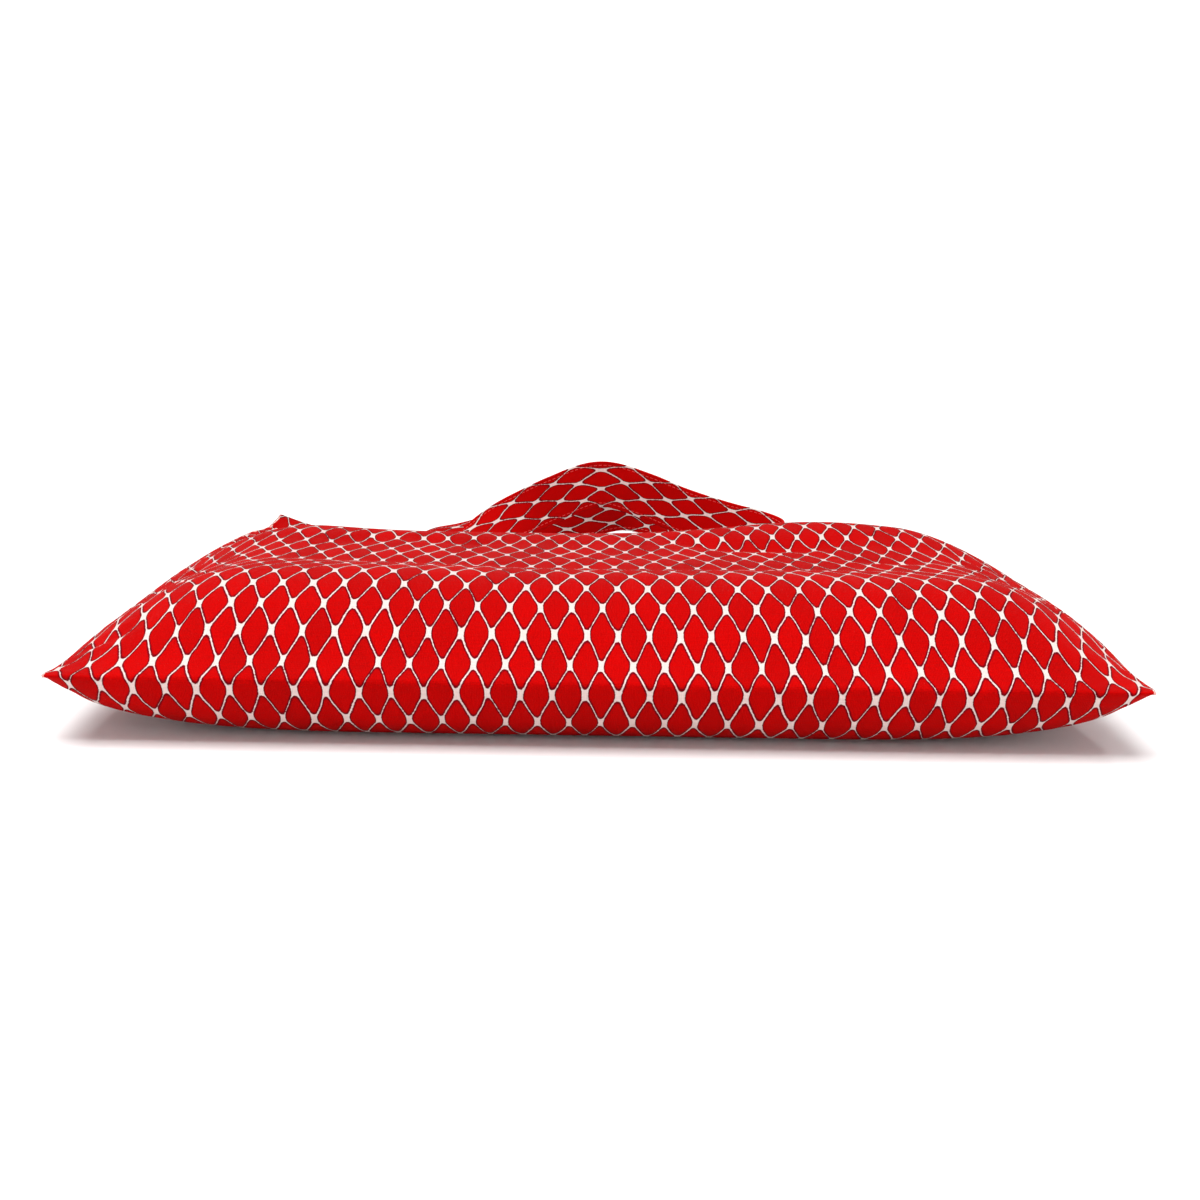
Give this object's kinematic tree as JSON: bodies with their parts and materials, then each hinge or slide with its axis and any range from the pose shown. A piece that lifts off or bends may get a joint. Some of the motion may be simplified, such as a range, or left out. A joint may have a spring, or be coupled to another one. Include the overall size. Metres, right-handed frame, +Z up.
{
  "type": "tote bag",
  "caption": "Soft cotton tote bag with a printed body, an open hemmed mouth and flat strap handles, lying on its back panel and loosely filled.",
  "frame": {"origin": "on the surface the bag lies on, under the middle of its outline", "axes": "+X across the bag, +Y from the bottom fold to the mouth and the handles, +Z up out of the front panel"},
  "size_m": [0.424, 0.501, 0.062],
  "materials": {
    "printed_cotton": "woven cotton with an all-over print",
    "turned_cotton": "turned edge of the same cotton",
    "strap_cotton": "folded and topstitched cotton strap",
    "sewing_thread": "twisted sewing thread"
  },
  "bodies": {
    "bag": {"body_cloth": "printed_cotton", "left_side_seam": "turned_cotton", "right_side_seam": "turned_cotton", "upper_hem": "turned_cotton", "lower_hem": "turned_cotton", "upper_hem_stitch": "sewing_thread", "lower_hem_stitch": "sewing_thread", "upper_strap_left_end": "strap_cotton", "upper_strap_right_end": "strap_cotton", "lower_strap_left_end": "strap_cotton", "lower_strap_right_end": "strap_cotton", "upper_left_box_stitch": "sewing_thread", "upper_right_box_stitch": "sewing_thread", "lower_left_box_stitch": "sewing_thread", "lower_right_box_stitch": "sewing_thread"},
    "upper_handle": {"upper_handle": "strap_cotton"},
    "lower_handle": {"lower_handle": "strap_cotton"}
  },
  "joints": [
    {"name": "upper_handle_swing", "type": "hinge", "parent": "bag", "child": "upper_handle", "pos_m": [0, 0.15955, 0.01465], "axis": [1, 0, 0], "range_deg": [0, 105]},
    {"name": "lower_handle_swing", "type": "hinge", "parent": "bag", "child": "lower_handle", "pos_m": [0, 0.15955, 0.00635], "axis": [1, 0, 0], "range_deg": [0, 63]}
  ],
  "couplings": [
    {"joint": "lower_handle_swing", "follows": "upper_handle_swing", "ratio": 0.6}
  ]
}
